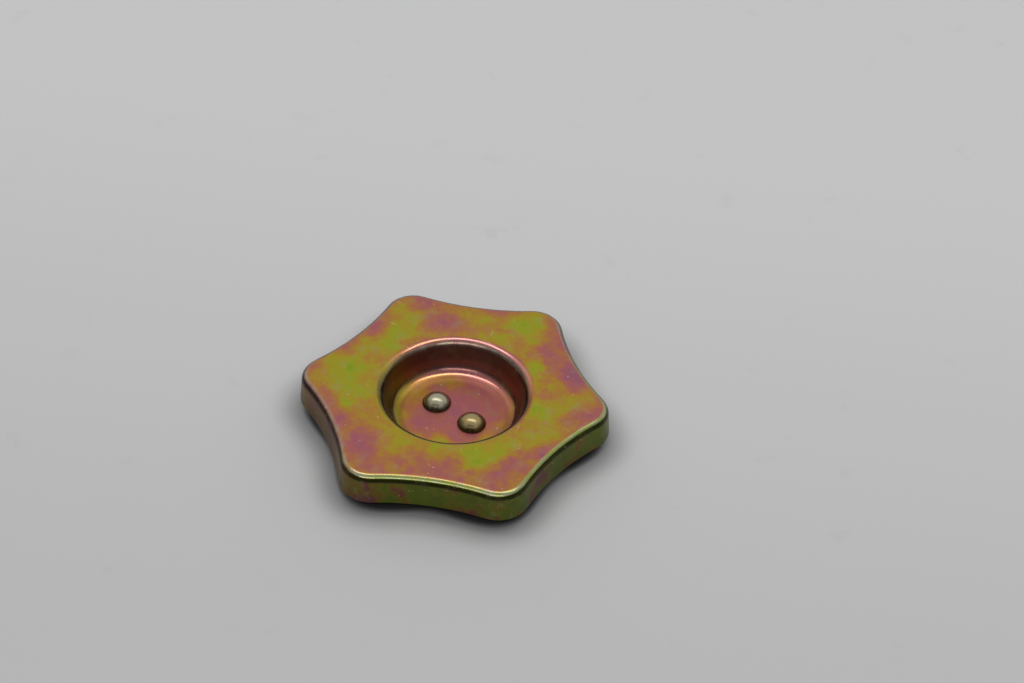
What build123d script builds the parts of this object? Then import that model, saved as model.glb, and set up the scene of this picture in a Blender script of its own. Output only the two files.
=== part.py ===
from build123d import *
from math import cos, radians, sin, tan
import os

# Bayonet oil filler cap, pressed from sheet steel. Millimetres, +Z up.
# The origin is on the cap's axis, at the level that the cap stands on.
# The first lobe of the star points along +X.

# Star top and skirt
lobes = 6
tip_radius = 37.5            # axis to the tip of a lobe
lobe_depth = 5.7             # how far the star draws in between two lobes
lobe_radius = 7.2            # rounding of a lobe, seen from above
edge_radius = 1.9            # outer rounding between top and skirt
skirt_height = 7.6           # top face to the skirt's lower edge
skirt_draft = 4.0            # degrees that the skirt leans outwards
sheet = 1.0                  # thickness of the pressed shell

# Well in the middle of the top
well_depth = 7.8             # top face to the well's floor
well_wall_radius = 17.7      # where the wall's line meets the top face
well_draft = 18.0            # degrees that the wall leans inwards
rim_radius = 2.4             # rounding between the top and the wall
foot_radius = 2.8            # hollow rounding between the wall and the floor
flange_width = 2.6           # flat ring round the mouth, part of the well's section

# Rivets
rivet_count = 2
rivet_pitch = 11.1           # distance between the two rivets
rivet_angle = -30.0          # degrees from +X to the line of the rivets
shank_radius = 2.0
hole_clearance = 0.05        # all round a shank
head_rim = 1.5               # how far a head stands out past its shank
head_height = 2.5
head_edge = 0.35             # straight edge under a head's dome
tail_rim = 1.0               # how far a tail stands out past its shank
tail_height = 0.8
tail_edge = 0.25             # rounding of a flattened tail

# Locking plate
plate_thickness = 1.2
plate_width = 16.0
ear_reach = 4.9              # end of an ear past the wall's line at the top face
ear_corner = 1.6             # rounding of an ear's corners
lip_width = 3.4              # edge of an ear that is bent down as a lead-in
lip_slot = 0.8               # relief cut between a lip and the plate's body
lip_bend = 1.6               # inner radius of a lip's bend
slot_inset = 1.0             # relief cut's start, inside the foot of the well

# Sealing ring, flat between the rounding of the rim and the rounding of the skirt
seal_thickness = 2.5
seal_clearance = 0.1         # to each rounding
seal_edge = 0.4

# Levels, from the surface that the cap stands on
plate_bottom = tail_height
plate_top = plate_bottom + plate_thickness
floor_level = plate_top + sheet
top_level = floor_level + well_depth
under_top = top_level - sheet
seal_bottom = under_top - seal_thickness

# The star is six lobe arcs, with a larger arc between two lobes that is tangent to both.
half_step = 180.0 / lobes
valley_radius = tip_radius - lobe_depth
lobe_centre = tip_radius - lobe_radius
centre_reach = lobe_centre * cos(radians(half_step))
valley_arc = (
    lobe_centre**2 + valley_radius**2 - 2 * centre_reach * valley_radius - lobe_radius**2
) / (2 * (lobe_radius + centre_reach - valley_radius))
valley_centre = Vector(valley_radius + valley_arc, 0).rotate(Axis.Z, half_step)
to_valley = (valley_centre - Vector(lobe_centre, 0)).normalized()
join_point = Vector(lobe_centre, 0) + to_valley * lobe_radius
mirror_point = Vector(join_point.X, -join_point.Y)
next_point = mirror_point.rotate(Axis.Z, 2 * half_step)

with BuildSketch() as star:
    with BuildLine():
        for lobe in range(lobes):
            turn = 2 * half_step * lobe
            ThreePointArc(
                mirror_point.rotate(Axis.Z, turn),
                Vector(tip_radius, 0).rotate(Axis.Z, turn),
                join_point.rotate(Axis.Z, turn),
            )
            ThreePointArc(
                join_point.rotate(Axis.Z, turn),
                Vector(valley_radius, 0).rotate(Axis.Z, turn + half_step),
                next_point.rotate(Axis.Z, turn),
            )
    make_face()

# The hollow under the top follows the outside at one sheet's thickness.
skirt_slope = radians(skirt_draft)
hollow_inset = sheet * (1 / cos(skirt_slope) - tan(skirt_slope))

with BuildPart() as hollow:
    with BuildSketch(Plane.XY.offset(under_top)):
        add(star.sketch)
        offset(amount=-hollow_inset, mode=Mode.REPLACE)
    extrude(amount=-skirt_height, taper=-skirt_draft)
    fillet(hollow.faces().sort_by(Axis.Z)[-1].edges(), edge_radius - sheet)

# Radii of the well, where its lines meet and where the rim's rounding begins
well_slope = radians(well_draft)
foot_line_radius = well_wall_radius - well_depth * tan(well_slope)
rim_run = rim_radius * tan(radians(90 - well_draft) / 2)
mouth_radius = well_wall_radius + rim_run
flange_radius = well_wall_radius + flange_width

rivet_places = PolarLocations(rivet_pitch / 2, rivet_count, start_angle=rivet_angle).locations
hole_radius = shank_radius + hole_clearance

with BuildPart() as cap_shell:
    with BuildSketch(Plane.XY.offset(top_level)):
        add(star.sketch)
    extrude(amount=-skirt_height, taper=-skirt_draft)
    fillet(cap_shell.faces().sort_by(Axis.Z)[-1].edges(), edge_radius)
    add(hollow.part, mode=Mode.SUBTRACT)
    # the well's section is one bent line of sheet, turned about the axis
    with BuildSketch(Plane.XY.offset(top_level)):
        Circle(flange_radius)
    extrude(amount=-sheet, mode=Mode.SUBTRACT)
    with BuildSketch(Plane.XZ):
        with BuildLine():
            FilletPolyline(
                (0, floor_level),
                (foot_line_radius, floor_level),
                (well_wall_radius, top_level),
                (flange_radius, top_level),
                radius=[foot_radius, rim_radius],
            )
            offset(amount=sheet, side=Side.RIGHT)
        make_face()
    revolve(axis=Axis.Z)
    with BuildSketch(Plane.XY.offset(floor_level)):
        with Locations(rivet_places):
            Circle(hole_radius)
    extrude(amount=-sheet, mode=Mode.SUBTRACT)

cap_shell.part.label = "cap_shell"

# The plate's X runs along its ears, which lie on the line of the rivets. Seen from above, the cap is
# shut by turning it clockwise, so each lip is on the side of its ear that leads in that turn.
ear_direction = Vector(1, 0).rotate(Axis.Z, rivet_angle)
lead_direction = ear_direction.rotate(Axis.Z, -90)
plate_plane = Plane(origin=(0, 0, plate_bottom), x_dir=ear_direction, z_dir=(0, 0, 1))
ear_radius = well_wall_radius + ear_reach
slot_start = foot_line_radius - slot_inset
lip_start = slot_start + lip_slot
bend_line = plate_width / 2 - lip_width

with BuildSketch() as plate_outline:
    Rectangle(2 * ear_radius, plate_width)
    Circle(ear_radius, mode=Mode.INTERSECT)
    fillet(plate_outline.vertices(), ear_corner)

with BuildPart() as locking_plate:
    with BuildSketch(plate_plane):
        add(plate_outline.sketch)
        with Locations((slot_start, -bend_line), Location((-slot_start, bend_line), (0, 0, 180))):
            Rectangle(ear_reach + ear_radius, lip_width, align=(Align.MIN, Align.MAX), mode=Mode.SUBTRACT)
    extrude(amount=plate_thickness)
    for side in (1, -1):
        lip_plane = Plane(
            origin=Vector(0, 0, plate_bottom) + ear_direction * side * lip_start,
            x_dir=lead_direction * side,
            z_dir=ear_direction * -side,
        )
        with BuildSketch(lip_plane):
            with BuildLine():
                FilletPolyline(
                    (0, 0),
                    (bend_line, 0),
                    (plate_width / 2, -plate_bottom),
                    radius=lip_bend,
                )
                offset(amount=plate_thickness, side=Side.LEFT)
            make_face()
        extrude(amount=lip_start - ear_radius)
    # trims the ends and corners of the lips to the plate's outline
    with BuildSketch(plate_plane):
        add(plate_outline.sketch)
    extrude(amount=plate_thickness, both=True, mode=Mode.INTERSECT)
    with BuildSketch(Plane.XY.offset(plate_bottom)):
        with Locations(rivet_places):
            Circle(hole_radius)
    extrude(amount=plate_thickness, mode=Mode.SUBTRACT)

locking_plate.part.label = "locking_plate"

seal_bore_radius = mouth_radius + seal_clearance
seal_outer_radius = valley_radius - edge_radius - seal_clearance

with BuildPart() as sealing_ring:
    with BuildSketch(Plane.XY.offset(seal_bottom)):
        Circle(seal_outer_radius)
        Circle(seal_bore_radius, mode=Mode.SUBTRACT)
    extrude(amount=seal_thickness)
    fillet(sealing_ring.edges().filter_by(GeomType.CIRCLE), seal_edge)

sealing_ring.part.label = "sealing_ring"

# Each rivet is one turned section: flattened tail, shank and domed head.
head_radius = shank_radius + head_rim
tail_radius = shank_radius + tail_rim
rivets = []
for place in rivet_places:
    rivet_axis = Axis(place.position, (0, 0, 1))
    with BuildPart() as rivet:
        with BuildSketch(Plane(origin=place.position, x_dir=(1, 0, 0), z_dir=(0, -1, 0))):
            with BuildLine():
                Line((0, 0), (tail_radius - tail_edge, 0))
                RadiusArc((tail_radius - tail_edge, 0), (tail_radius, tail_edge), -tail_edge)
                Polyline(
                    (tail_radius, tail_edge),
                    (tail_radius, plate_bottom),
                    (shank_radius, plate_bottom),
                    (shank_radius, floor_level),
                    (head_radius, floor_level),
                    (head_radius, floor_level + head_edge),
                )
                TangentArc(
                    (0, floor_level + head_height),
                    (head_radius, floor_level + head_edge),
                    tangent=(1, 0),
                )
                Line((0, floor_level + head_height), (0, 0))
            make_face()
        revolve(axis=rivet_axis)
    rivet.part.label = f"rivet_{len(rivets) + 1}"
    rivets.append(rivet.part)

os.makedirs("parts", exist_ok=True)
for piece in [cap_shell.part, locking_plate.part, sealing_ring.part, *rivets]:
    export_step(piece, f"parts/{piece.label}.step")
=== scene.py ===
import math

import bpy
from mathutils import Matrix, Vector


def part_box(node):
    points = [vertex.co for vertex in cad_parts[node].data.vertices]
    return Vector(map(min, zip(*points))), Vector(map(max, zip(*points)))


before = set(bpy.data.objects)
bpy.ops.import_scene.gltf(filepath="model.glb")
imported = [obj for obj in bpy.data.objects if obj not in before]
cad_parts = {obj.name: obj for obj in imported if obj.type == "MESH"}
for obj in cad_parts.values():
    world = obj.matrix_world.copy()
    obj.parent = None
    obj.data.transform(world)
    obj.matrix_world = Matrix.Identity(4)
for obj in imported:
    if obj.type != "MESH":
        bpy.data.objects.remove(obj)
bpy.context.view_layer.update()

MM = 0.001

# Level of the well's floor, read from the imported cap
shell_low, shell_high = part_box("cap_shell")
ring_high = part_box("sealing_ring")[1]
sheet = shell_high.z - ring_high.z
floor_level = shell_low.z + sheet

# Reaches from the axis: the well's floor, its wall above the foot, its rim, and the star's edge
floor_reach = 12.4 * MM
wall_start = 14.0 * MM
rim_start = 16.0 * MM
mouth_radius = 19.4 * MM
edge_start = 26.0 * MM

# Star outline as a wave round the axis, near enough to place wear and tint
star_lobes = 6
star_middle = 34.7 * MM
star_wave = 2.85 * MM


# ---------------------------------------------------------------- node helpers

def new_finish(name):
    """An empty node material; returns it with its shader."""
    finish = bpy.data.materials.new(name)
    finish.use_nodes = True
    shader = finish.node_tree.nodes["Principled BSDF"]
    return finish, shader


def plug(tree, socket, value):
    """Links a node's output to a socket, or writes a plain value on it."""
    if isinstance(value, bpy.types.NodeSocket):
        tree.links.new(value, socket)
    else:
        socket.default_value = value


def math_node(tree, operation, first, second=0.0, third=0.0, clamp=False):
    """The result of one sum on two or three values."""
    node = tree.nodes.new("ShaderNodeMath")
    node.operation = operation
    node.use_clamp = clamp
    for socket, value in zip(node.inputs, (first, second, third)):
        plug(tree, socket, value)
    return node.outputs[0]


def product(tree, first, *others):
    """All the values multiplied together."""
    for other in others:
        first = math_node(tree, "MULTIPLY", first, other)
    return first


def total(tree, first, *others):
    """All the values added up."""
    for other in others:
        first = math_node(tree, "ADD", first, other)
    return first


def mix_value(tree, amount, first, second):
    """Goes from first to second as amount goes from 0 to 1."""
    span = math_node(tree, "SUBTRACT", second, first)
    return math_node(tree, "MULTIPLY_ADD", span, amount, first)


def vector_node(tree, operation, first, second=(0.0, 0.0, 0.0), scale=None):
    """The result of one sum on vectors: a number for a length or a distance, or else a vector."""
    node = tree.nodes.new("ShaderNodeVectorMath")
    node.operation = operation
    plug(tree, node.inputs[0], first)
    plug(tree, node.inputs[1], second)
    if scale is not None:
        plug(tree, node.inputs["Scale"], scale)
    return node.outputs["Value" if operation in ("LENGTH", "DISTANCE") else "Vector"]


def split(tree, vector):
    """The x, y and z of a vector."""
    node = tree.nodes.new("ShaderNodeSeparateXYZ")
    plug(tree, node.inputs[0], vector)
    return node.outputs


def step(tree, value, start, end, low=0.0, high=1.0):
    """A smooth change from low to high while value goes from start to end."""
    node = tree.nodes.new("ShaderNodeMapRange")
    node.interpolation_type = "SMOOTHSTEP"
    settings = (("Value", value), ("From Min", start), ("From Max", end), ("To Min", low), ("To Max", high))
    for key, item in settings:
        plug(tree, node.inputs[key], item)
    return node.outputs["Result"]


def noise(tree, place, size, detail, rough, seed):
    """A noise node with blotches about size across."""
    node = tree.nodes.new("ShaderNodeTexNoise")
    node.noise_dimensions = "4D"
    plug(tree, node.inputs["Vector"], place)
    for key, item in (("W", seed), ("Scale", 1.0 / size), ("Detail", detail), ("Roughness", rough)):
        node.inputs[key].default_value = item
    return node


def cloud(tree, place, size, detail, rough, seed):
    """Soft noise between 0 and 1."""
    return noise(tree, place, size, detail, rough, seed).outputs["Fac"]


def sway(tree, place, size, reach, seed):
    """Noise that shifts a place by up to half the reach each way."""
    colour = noise(tree, place, size, 2.0, 0.5, seed).outputs["Color"]
    shift = vector_node(tree, "SUBTRACT", colour, (0.5, 0.5, 0.5))
    return vector_node(tree, "SCALE", shift, scale=reach)


def blotches(tree, place, size, strength, seed):
    """Noise round zero, to be added to the film's thickness."""
    around_zero = math_node(tree, "SUBTRACT", cloud(tree, place, size, 2.5, 0.55, seed), 0.5)
    return product(tree, around_zero, strength)


def paint(red, green, blue):
    """A colour given in display values from 0 to 255, as linear light with full cover."""
    linear = []
    for part in (red, green, blue):
        share = part / 255.0
        linear.append(share / 12.92 if share <= 0.04045 else ((share + 0.055) / 1.055) ** 2.4)
    return (*linear, 1.0)


def ramp(tree, value, stops):
    """Colours along a value: stops are (place, colour)."""
    node = tree.nodes.new("ShaderNodeValToRGB")
    points = node.color_ramp.elements
    while len(points) < len(stops):
        points.new(0.5)
    for point, (place, colour) in zip(points, stops):
        point.position = place
        point.color = colour
    plug(tree, node.inputs["Fac"], value)
    return node.outputs["Color"]


def mix(tree, amount, first, second):
    """The first colour where amount is 0 and the second where it is 1."""
    node = tree.nodes.new("ShaderNodeMix")
    node.data_type = "RGBA"
    for socket, value in zip((node.inputs[0], node.inputs[6], node.inputs[7]), (amount, first, second)):
        plug(tree, socket, value)
    return node.outputs[2]


def bump(tree, height, depth):
    """A surface normal disturbed by a height between 0 and 1, depth deep."""
    node = tree.nodes.new("ShaderNodeBump")
    node.inputs["Distance"].default_value = depth
    plug(tree, node.inputs["Height"], height)
    return node.outputs["Normal"]


# ---------------------------------------------------------------- finishes

# Interference tints of the chromate film, from thin to thick
FILM_TINTS = (
    (0.00, paint(116, 136, 34)),
    (0.18, paint(135, 140, 34)),
    (0.36, paint(148, 129, 39)),
    (0.52, paint(154, 112, 50)),
    (0.68, paint(153, 96, 71)),
    (0.84, paint(149, 85, 88)),
    (1.00, paint(136, 82, 97)),
)

# Patches of film: x, y and radius in millimetres, and how much thicker the film is there
TOP_FILM = 0.50
TOP_PATCHES = (
    (-27, 4, 10, -0.30), (-24, -6, 8, -0.28), (-20, 14, 8, -0.20), (-16, 21, 7, -0.18),
    (-19, 27, 5, -0.10), (13, 27, 8, -0.34), (16, 22, 5, -0.14), (8, 20, 6, -0.16),
    (2, 25, 5, -0.16), (18, 12, 5, -0.26), (24, 7, 5, -0.18), (29, 2, 6, -0.22),
    (21, -4, 7, -0.32), (24, -11, 6, -0.22), (17, -16, 7, -0.20), (10, -21, 8, -0.34),
    (0, -20, 6, -0.20), (-9, -22, 7, -0.20), (-13, -15, 6, -0.08), (-34, -2, 4, -0.10),
    (-7, 24, 8, 0.34), (-13, 31, 6, 0.20), (-23, 18, 5, 0.22), (-29, 9, 5, 0.24),
    (7, 31, 6, 0.18), (22, 24, 8, 0.26), (19, 17, 5, 0.26), (28, 9, 8, 0.42),
    (24, 14, 6, 0.16), (33, -2, 6, 0.30), (30, -7, 5, 0.14), (25, -17, 7, 0.24),
    (19, -23, 7, 0.26), (14, -28, 7, 0.28), (3, -27, 8, 0.26), (-6, -26, 8, 0.24),
    (-15, -28, 6, 0.24), (-19, -22, 8, 0.34), (-25, -15, 6, 0.24), (-29, -9, 5, 0.20),
)
WELL_FILM = 0.80
WELL_PATCHES = (
    (-10, 5, 6, -0.26), (-3, 12, 5, -0.28), (-1, 9, 4, -0.10), (-1, -11, 5, -0.46),
    (-7, -10, 4, -0.20), (5, -11, 4, -0.34), (10, -8, 5, -0.34), (12, -2, 4, -0.22),
    (-12, -3, 4, -0.22), (3, 3, 6, 0.06), (-1, 0, 4, 0.08), (-8, -4, 5, 0.08),
)


def lobe_wave(tree, x, y):
    """1 along the middle of each lobe and -1 half-way between two lobes."""
    angle = math_node(tree, "ARCTAN2", y, x)
    return math_node(tree, "COSINE", product(tree, angle, float(star_lobes)))


def inside_star(tree, x, y):
    """How far a place is inside the outline of the star, seen from above."""
    outline = math_node(tree, "MULTIPLY_ADD", lobe_wave(tree, x, y), star_wave, star_middle)
    radius = math_node(tree, "SQRT", total(tree, product(tree, x, x), product(tree, y, y)))
    return math_node(tree, "SUBTRACT", outline, radius)


def patched(tree, place, film, patches):
    """The film's thickness with soft-edged patches laid on it."""
    for patch_x, patch_y, patch_radius, thicker in patches:
        away = vector_node(tree, "DISTANCE", place, (patch_x * MM, patch_y * MM, 0.0))
        film = total(tree, film, step(tree, away, patch_radius * MM, 0.1 * patch_radius * MM, 0.0, thicker))
    return film


class ShellZones:
    """Coordinates on the shell, and how far each place belongs to each zone of the pressing, from 0 to 1.

    up is 1 where the sheet lies flat and 0 where it is upright.
    """

    def __init__(self, tree):
        coords = tree.nodes.new("ShaderNodeTexCoord")
        self.place = coords.outputs["Object"]
        self.x, self.y, self.z = split(tree, self.place)
        self.up = split(tree, coords.outputs["Normal"])["Z"]
        self.flat_place = vector_node(tree, "MULTIPLY", self.place, (1.0, 1.0, 0.0))
        self.radius = vector_node(tree, "LENGTH", self.flat_place)
        self.wave = lobe_wave(tree, self.x, self.y)
        self.front_half = step(tree, self.y, 6 * MM, -2 * MM)
        self.back_half = step(tree, self.y, 1 * MM, 10 * MM)

        self.well = step(tree, self.radius, mouth_radius + 0.3 * MM, mouth_radius - 0.6 * MM)
        self.past_floor = step(tree, self.radius, floor_reach, wall_start)
        self.steep = product(tree, step(tree, self.up, 0.99, 0.70), self.well)
        self.rim = product(tree, step(tree, self.radius, rim_start, rim_start + 1 * MM), self.well)

        outside = step(tree, self.radius, edge_start, edge_start + 2 * MM)
        crest = product(tree, step(tree, self.up, 0.995, 0.95), step(tree, self.up, 0.62, 0.76))
        lower_bend = product(tree, step(tree, self.up, 0.79, 0.68), step(tree, self.up, 0.10, 0.30))
        self.edge = product(tree, step(tree, self.up, 0.995, 0.92), outside)
        self.edge_crest = product(tree, crest, outside)
        self.under_edge = product(tree, lower_bend, outside)
        self.skirt = product(tree, step(tree, self.up, 0.55, 0.15), outside)


def film_thickness(tree, zone):
    """Thickness of the chromate film, as a place along its tints."""
    place = zone.place
    wide_sway = sway(tree, place, 5 * MM, 5 * MM, 3.0)
    fine_sway = sway(tree, place, 1.4 * MM, 1.8 * MM, 3.5)
    swayed = vector_node(tree, "ADD", vector_node(tree, "ADD", zone.flat_place, wide_sway), fine_sway)

    top = patched(tree, swayed, TOP_FILM, TOP_PATCHES)
    near_outline = step(tree, inside_star(tree, zone.x, zone.y), 5.0 * MM, 1.0 * MM, 0.0, 0.12)
    wide_blotches = blotches(tree, place, 5 * MM, 0.68, 1.3)
    small_blotches = blotches(tree, place, 2.2 * MM, 0.42, 2.9)
    top = total(tree, top, near_outline, wide_blotches, small_blotches)

    floor = patched(tree, swayed, WELL_FILM, WELL_PATCHES)
    floor_ring = step(tree, zone.radius, 9.5 * MM, 12.5 * MM)
    thinner_left = step(tree, zone.x, 6 * MM, -4 * MM, 0.2, 1.0)
    floor = total(tree, floor, product(tree, floor_ring, thinner_left, -0.12))
    floor = total(tree, floor, blotches(tree, place, 4 * MM, 0.35, 4.1))

    # the well's wall and rim: olive on the left and in front, brown on the right, red at the back
    wall = step(tree, zone.x, -15 * MM, 15 * MM, 0.34, 0.62)
    wall = mix_value(tree, step(tree, zone.y, 4 * MM, 15 * MM), wall, 0.88)
    wall = mix_value(tree, step(tree, zone.y, -6 * MM, -15 * MM), wall, 0.34)
    wall = total(tree, wall, blotches(tree, place, 4 * MM, 0.3, 4.6))

    # the rounding round the star is greener towards its front and right, and so is the skirt
    left = step(tree, zone.x, -12 * MM, -26 * MM)
    back = step(tree, zone.y, 4 * MM, 20 * MM)
    edge = mix_value(tree, math_node(tree, "MAXIMUM", left, back), 0.08, 0.80)
    edge = total(tree, edge, blotches(tree, place, 3 * MM, 0.6, 7.1))
    mauve = step(tree, cloud(tree, place, 8 * MM, 4.0, 0.60, 7.7), 0.46, 0.67)
    skirt = mix_value(tree, mauve, mix_value(tree, left, 0.02, 0.54), 0.92)
    skirt = total(tree, skirt, blotches(tree, place, 2.5 * MM, 0.9, 8.3))

    film = mix_value(tree, zone.well, top, mix_value(tree, zone.past_floor, floor, wall))
    film = mix_value(tree, zone.edge, film, edge)
    film = mix_value(tree, zone.skirt, film, skirt)
    return total(tree, film, blotches(tree, place, 1.1 * MM, 0.26, 1.9))


def painted_shade(tree, zone):
    """Painted shade: how much the colour is darkened on the well's walls, on the skirt, under the star's
    edge and round the front of the well's rim and foot, with less of it low on the back wall as a painted
    reflection.
    """
    # low on the back wall the painted shade eases off, leaving a lighter band as a painted reflection
    low_wall = product(
        tree,
        step(tree, zone.z, floor_level + 4.0 * MM, floor_level + 2.6 * MM),
        step(tree, zone.y, 2 * MM, 10 * MM),
        step(tree, zone.up, 0.60, 0.42),
    )
    wall_shade = product(tree, zone.steep, mix_value(tree, low_wall, 0.40, 0.0))
    # painted shade round the front of the well's rim and foot
    near_rim = product(tree, step(tree, zone.up, 0.9995, 0.93), zone.rim, zone.front_half)
    foot = product(
        tree,
        step(tree, zone.radius, 12.0 * MM, 13.4 * MM),
        step(tree, zone.radius, rim_start, rim_start - 1 * MM),
        zone.front_half,
    )
    # painted shade on the walls, the skirt and the lower bend under the star's edge, where the metal
    # mirrors shade
    shade = total(
        tree,
        wall_shade,
        product(tree, zone.skirt, 0.32),
        product(tree, zone.under_edge, 0.78),
        product(tree, near_rim, 0.50),
        product(tree, foot, 0.35),
    )
    return math_node(tree, "MINIMUM", shade, 1.0)


def painted_bend_highlights(tree, zone, tint):
    """Painted highlights: paler colour where the sheet turns up from the well's floor and over its rim,
    round the back.
    """
    painted_foot_highlight = product(
        tree,
        step(tree, zone.radius, 10.5 * MM, 12.8 * MM),
        step(tree, zone.radius, 15 * MM, 14 * MM),
        step(tree, zone.up, 0.88, 0.96),
        step(tree, zone.x, 12 * MM, 4 * MM, 0.25, 1.0),
        zone.well,
        zone.back_half,
    )
    foot_highlight_tint = mix(tree, step(tree, zone.x, 3 * MM, -5 * MM), paint(202, 132, 120), paint(206, 154, 92))
    tint = mix(tree, product(tree, painted_foot_highlight, 0.72), tint, foot_highlight_tint)

    painted_rim_highlight = product(
        tree,
        step(tree, zone.up, 0.994, 0.975),
        step(tree, zone.up, 0.84, 0.93),
        zone.rim,
        zone.back_half,
    )
    rim_highlight_tint = mix(tree, step(tree, zone.x, -3 * MM, -12 * MM), paint(198, 144, 132), paint(204, 152, 96))
    return mix(tree, product(tree, painted_rim_highlight, 0.5), tint, rim_highlight_tint)


def dull_haze(tree, zone):
    """How dull the film is: here and there on the top, and more on the skirt and the well's wall."""
    here_and_there = step(tree, cloud(tree, zone.place, 3.2 * MM, 2.5, 0.55, 9.2), 0.50, 0.75, 0.0, 0.30)
    sides = math_node(tree, "MAXIMUM", zone.skirt, product(tree, zone.steep, 0.5))
    return total(tree, here_and_there, product(tree, sides, 0.32))


def rubbed_bends(tree, zone):
    """How far the film is rubbed off: most round the tips of the lobes, less on the rim at the back."""
    uneven = step(tree, cloud(tree, zone.place, 2.6 * MM, 4.0, 0.6, 2.2), 0.34, 0.62, 0.30, 1.0)
    tips = step(tree, zone.wave, 0.30, 0.95, 0.55, 0.85)
    rim_bend = product(
        tree,
        step(tree, zone.up, 0.90, 0.75),
        step(tree, zone.up, 0.45, 0.62),
        zone.rim,
        zone.back_half,
        0.6,
    )
    return product(tree, math_node(tree, "MAXIMUM", product(tree, zone.edge_crest, tips), rim_bend), uneven)


def scuffed_lobes(tree, zone):
    """Pale scuffs on the skirt, round the lobes."""
    here = step(tree, cloud(tree, zone.place, 2.0 * MM, 4.0, 0.6, 15.5), 0.52, 0.66)
    return product(tree, zone.skirt, step(tree, zone.wave, 0.2, 0.9), here)


def specks(tree, place):
    """Fine round specks in loose groups."""
    cells = tree.nodes.new("ShaderNodeTexVoronoi")
    plug(tree, cells.inputs["Vector"], place)
    cells.inputs["Scale"].default_value = 1 / (2.1 * MM)
    here = step(tree, cloud(tree, place, 5 * MM, 2.0, 0.5, 5.5), 0.46, 0.60)
    return product(tree, step(tree, cells.outputs["Distance"], 0.12, 0.05), here)


def scratches(tree, place, turn, seed):
    """Thin scratches along one direction, here and there."""
    turned = tree.nodes.new("ShaderNodeVectorRotate")
    turned.rotation_type = "Z_AXIS"
    plug(tree, turned.inputs["Vector"], place)
    turned.inputs["Angle"].default_value = math.radians(turn)
    drawn_out = vector_node(tree, "MULTIPLY", turned.outputs["Vector"], (0.09, 1.0, 1.0))
    line = step(tree, cloud(tree, drawn_out, 0.5 * MM, 1.0, 0.5, seed), 0.70, 0.76)
    here = step(tree, cloud(tree, place, 7 * MM, 2.0, 0.5, seed + 0.5), 0.52, 0.62)
    return product(tree, line, here)


def plating_roughness(tree, zone, haze):
    """Satin on the top and the well's floor, smoother where the sheet is bent."""
    flat_floor = product(tree, zone.well, math_node(tree, "SUBTRACT", 1.0, zone.past_floor))
    past_floor = math_node(tree, "SUBTRACT", zone.well, flat_floor)
    well_bends = product(tree, past_floor, step(tree, zone.up, 0.35, 0.60))
    satin = cloud(tree, zone.place, 1.6 * MM, 2.0, 0.5, 6.1)
    return total(
        tree,
        0.20,
        product(tree, satin, 0.16),
        product(tree, haze, 0.30),
        product(tree, zone.edge_crest, -0.045),
        product(tree, well_bends, -0.09),
        product(tree, flat_floor, 0.22),
    )


def plated_shell():
    """Iridescent yellow chromate over zinc on the pressed shell."""
    finish, shader = new_finish("plated_shell")
    tree = finish.node_tree
    zone = ShellZones(tree)
    place = zone.place

    tint = ramp(tree, film_thickness(tree, zone), FILM_TINTS)
    # painted shade, mixed in towards black
    tint = mix(tree, painted_shade(tree, zone), tint, paint(0, 0, 0))
    # painted highlights on the well's foot and rim
    tint = painted_bend_highlights(tree, zone, tint)

    haze = dull_haze(tree, zone)
    one_way = scratches(tree, place, 25.0, 14.1)
    other_way = scratches(tree, place, 98.0, 14.7)
    lines = math_node(tree, "MAXIMUM", one_way, other_way)
    # the haze is a darker grey on the skirt: partly dull film, partly the skirt's painted shade
    tint = mix(tree, haze, tint, mix(tree, zone.skirt, paint(140, 128, 100), paint(84, 80, 62)))
    tint = mix(tree, rubbed_bends(tree, zone), tint, paint(142, 141, 120))
    tint = mix(tree, product(tree, scuffed_lobes(tree, zone), 0.35), tint, paint(128, 132, 104))
    tint = mix(tree, product(tree, specks(tree, place), 0.5), tint, paint(215, 200, 170))
    tint = mix(tree, product(tree, lines, 0.45), tint, paint(190, 180, 150))

    plug(tree, shader.inputs["Base Color"], tint)
    shader.inputs["Metallic"].default_value = 1.0
    plug(tree, shader.inputs["Roughness"], plating_roughness(tree, zone, haze))
    pressing = cloud(tree, place, 8 * MM, 1.0, 0.4, 8.8)
    plug(tree, shader.inputs["Normal"], bump(tree, pressing, 0.10 * MM))
    return finish


def plated_plate():
    """The same plating on the spring-steel locking plate, thinner and greyer."""
    finish, shader = new_finish("plated_plate")
    tree = finish.node_tree
    coords = tree.nodes.new("ShaderNodeTexCoord")
    place = coords.outputs["Object"]
    blotch = cloud(tree, place, 7 * MM, 3.0, 0.55, 11.0)
    tint = ramp(tree, step(tree, blotch, 0.25, 0.75), FILM_TINTS)
    haze = step(tree, cloud(tree, place, 2.5 * MM, 4.0, 0.6, 12.0), 0.35, 0.7, 0.15, 0.6)
    plug(tree, shader.inputs["Base Color"], mix(tree, haze, tint, paint(150, 146, 126)))
    shader.inputs["Metallic"].default_value = 1.0
    plug(tree, shader.inputs["Roughness"], step(tree, haze, 0.1, 0.6, 0.26, 0.42))
    along = vector_node(tree, "MULTIPLY", place, (1.0, 9.0, 1.0))
    grain = cloud(tree, along, 1.2 * MM, 3.0, 0.6, 13.0)
    plug(tree, shader.inputs["Normal"], bump(tree, grain, 0.006 * MM))
    return finish


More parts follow.
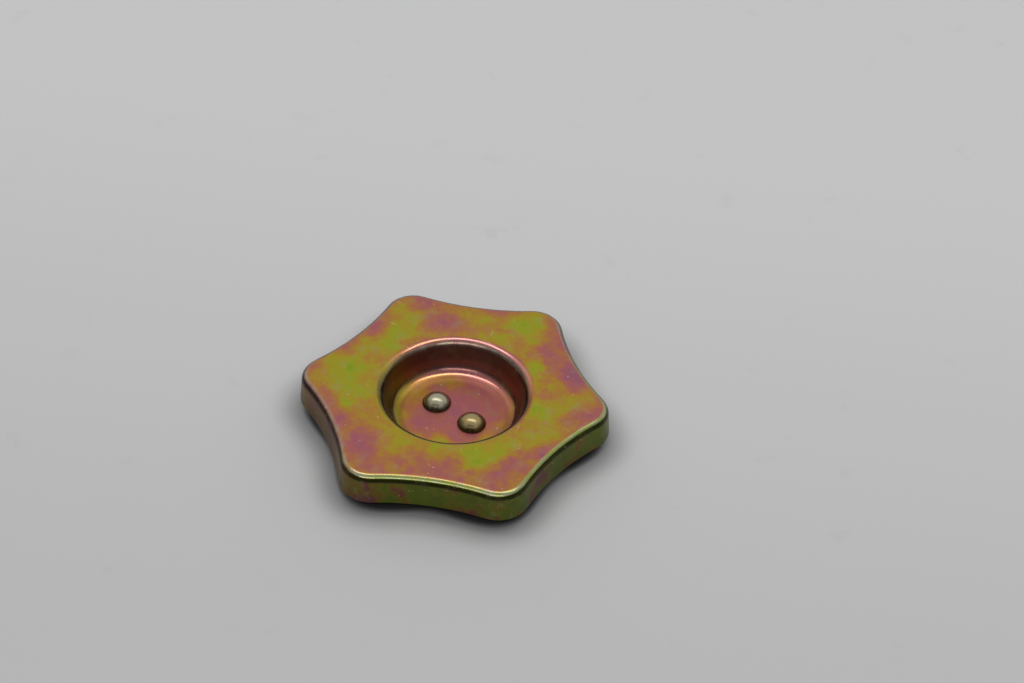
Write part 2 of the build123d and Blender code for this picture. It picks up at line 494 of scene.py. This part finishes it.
def rivet_steel():
    """Pale plated steel, browner on the right rivet, with painted shade round the foot and a painted dark
    reflection on the lower front of each head.
    """
    finish, shader = new_finish("rivet_steel")
    tree = finish.node_tree
    coords = tree.nodes.new("ShaderNodeTexCoord")
    place = coords.outputs["Object"]
    x, _, z = split(tree, place)
    sideways, forward, _ = split(tree, coords.outputs["Normal"])

    blotch = cloud(tree, place, 1.6 * MM, 3.0, 0.6, 21.0)
    brassy = step(tree, x, -1.0 * MM, 1.0 * MM, 0.1, 0.75)
    warm = math_node(tree, "MULTIPLY_ADD", step(tree, blotch, 0.35, 0.7), 0.4, brassy, clamp=True)
    tint = mix(tree, warm, paint(148, 147, 130), paint(142, 124, 82))
    # painted shade round the foot of each head
    foot = step(tree, z, floor_level + 1.3 * MM, floor_level + 0.5 * MM)
    tint = mix(tree, product(tree, foot, 0.8), tint, paint(66, 50, 30))
    # painted dark reflection on the lower front of each head, over the lower highlight
    off_middle = math_node(tree, "ABSOLUTE", math_node(tree, "SUBTRACT", sideways, 0.05))
    painted_dark_reflection = product(
        tree,
        step(tree, forward, -0.52, -0.64),
        step(tree, forward, -0.88, -0.80),
        step(tree, off_middle, 0.36, 0.16),
    )
    tint = mix(tree, product(tree, painted_dark_reflection, 0.85), tint, paint(44, 36, 26))

    plug(tree, shader.inputs["Base Color"], tint)
    shader.inputs["Metallic"].default_value = 1.0
    plug(tree, shader.inputs["Roughness"], math_node(tree, "MULTIPLY_ADD", blotch, 0.14, 0.20))
    dimple = cloud(tree, place, 1.2 * MM, 2.0, 0.5, 22.0)
    plug(tree, shader.inputs["Normal"], bump(tree, dimple, 0.007 * MM))
    return finish


def seal_rubber():
    """Matt black oil-resistant rubber."""
    finish, shader = new_finish("seal_rubber")
    tree = finish.node_tree
    coords = tree.nodes.new("ShaderNodeTexCoord")
    place = coords.outputs["Object"]
    bloom = cloud(tree, place, 4 * MM, 4.0, 0.6, 31.0)
    tint = mix(tree, step(tree, bloom, 0.4, 0.7), paint(34, 34, 35), paint(52, 51, 49))
    plug(tree, shader.inputs["Base Color"], tint)
    plug(tree, shader.inputs["Roughness"], math_node(tree, "MULTIPLY_ADD", bloom, 0.25, 0.5))
    grain = cloud(tree, place, 0.35 * MM, 2.0, 0.5, 32.0)
    plug(tree, shader.inputs["Normal"], bump(tree, grain, 0.02 * MM))
    return finish


def dress(node, finish):
    """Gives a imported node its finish."""
    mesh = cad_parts[node].data
    mesh.materials.clear()
    mesh.materials.append(finish)


dress("cap_shell", plated_shell())
dress("locking_plate", plated_plate())
rivet_finish = rivet_steel()
for number in (1, 2):
    dress(f"rivet_{number}", rivet_finish)
dress("sealing_ring", seal_rubber())


# ---------------------------------------------------------------- studio

def pale_floor():
    """Pale grey table, lighter towards the back as painted light, with a painted shadow close round the cap
    and under it.
    """
    bpy.ops.object.select_all(action="DESELECT")
    bpy.ops.mesh.primitive_plane_add(size=1.6, location=(0.0, 0.0, 0.0))
    floor = bpy.context.active_object
    floor.name = "floor"
    finish, shader = new_finish("pale_floor")
    tree = finish.node_tree
    coords = tree.nodes.new("ShaderNodeTexCoord")
    place = coords.outputs["Object"]
    x, y, _ = split(tree, place)
    # painted light: the table is lighter towards the back
    tint = mix(tree, step(tree, y, -0.10, 0.15), paint(173, 173, 173), paint(187, 187, 188))
    smudge = cloud(tree, place, 9 * MM, 4.0, 0.55, 41.0)
    tint = mix(tree, step(tree, smudge, 0.62, 0.78, 0.0, 0.10), tint, paint(120, 120, 120))
    # painted shadow close round the cap's outline, and darker under it
    from_outline = inside_star(tree, x, y)
    near = step(tree, from_outline, -9 * MM, 1 * MM, 0.0, 0.42)
    under = step(tree, from_outline, -2.0 * MM, 2.5 * MM, 0.0, 0.92)
    tint = mix(tree, math_node(tree, "MAXIMUM", near, under), tint, paint(20, 19, 18))
    plug(tree, shader.inputs["Base Color"], tint)
    shader.inputs["Roughness"].default_value = 0.6
    shader.inputs["Specular IOR Level"].default_value = 0.2
    floor.data.materials.append(finish)


def soft_lamp(name, tilt, distance, width, depth, watts):
    """An oblong soft lamp over the cap, tilted from straight above; a positive tilt is to the front."""
    lamp_data = bpy.data.lights.new(name, "AREA")
    lamp_data.shape = "RECTANGLE"
    lamp_data.size = width
    lamp_data.size_y = depth
    lamp_data.energy = watts
    lamp = bpy.data.objects.new(name, lamp_data)
    bpy.context.scene.collection.objects.link(lamp)
    direction = Vector((0.0, -math.sin(math.radians(tilt)), math.cos(math.radians(tilt))))
    lamp.location = direction * distance
    lamp.rotation_mode = "QUATERNION"
    lamp.rotation_quaternion = direction.to_track_quat("Z", "Y")


def room():
    """Pale to look at; what the metal mirrors is bright overhead and behind, and dark low down."""
    world = bpy.data.worlds.new("room")
    bpy.context.scene.world = world
    world.use_nodes = True
    tree = world.node_tree
    background = tree.nodes["Background"]
    coords = tree.nodes.new("ShaderNodeTexCoord")
    toward = split(tree, coords.outputs["Generated"])
    front = step(tree, toward["Y"], 0.60, 0.05)
    dark_foot = mix_value(tree, front, 0.04, 0.42)
    dark_top = mix_value(tree, front, 0.30, 0.85)
    low = step(tree, toward["Y"], -0.75, -0.20, 0.15, 0.26)
    overhead = step(tree, toward["Z"], 0.75, 0.95, 1.0, 0.75)
    shade = mix_value(tree, step(tree, toward["Z"], dark_foot, dark_top), low, overhead)
    rays = tree.nodes.new("ShaderNodeLightPath")
    shade = mix(tree, rays.outputs["Is Camera Ray"], shade, (0.52, 0.52, 0.52, 1.0))
    plug(tree, background.inputs["Color"], shade)
    background.inputs["Strength"].default_value = 1.0


def viewpoint():
    """The camera, aimed at a spot on the table behind and to the right of the cap."""
    elevation, azimuth, roll = math.radians(41.9), math.radians(7.59), math.radians(2.52)
    aim = Vector((9.2, 31.9, 0.0)) * MM
    distance = 633.6 * MM
    back = Vector((
        math.sin(azimuth) * math.cos(elevation),
        -math.cos(azimuth) * math.cos(elevation),
        math.sin(elevation),
    ))
    camera_data = bpy.data.cameras.new("camera")
    camera_data.sensor_width = 36.0
    camera_data.lens = 87.9
    camera_data.clip_start = 0.01
    camera = bpy.data.objects.new("camera", camera_data)
    bpy.context.scene.collection.objects.link(camera)
    level = back.to_track_quat("Z", "Y")
    camera.rotation_mode = "QUATERNION"
    camera.rotation_quaternion = level @ Matrix.Rotation(roll, 3, "Z").to_quaternion()
    camera.location = aim + back * distance
    bpy.context.scene.camera = camera


pale_floor()
room()
soft_lamp("rear_lamp", tilt=-12.0, distance=1.6, width=1.7, depth=0.34, watts=7.5)
soft_lamp("front_lamp", tilt=41.0, distance=1.6, width=1.4, depth=0.18, watts=4.4)
viewpoint()
bpy.context.scene.view_settings.view_transform = "Standard"
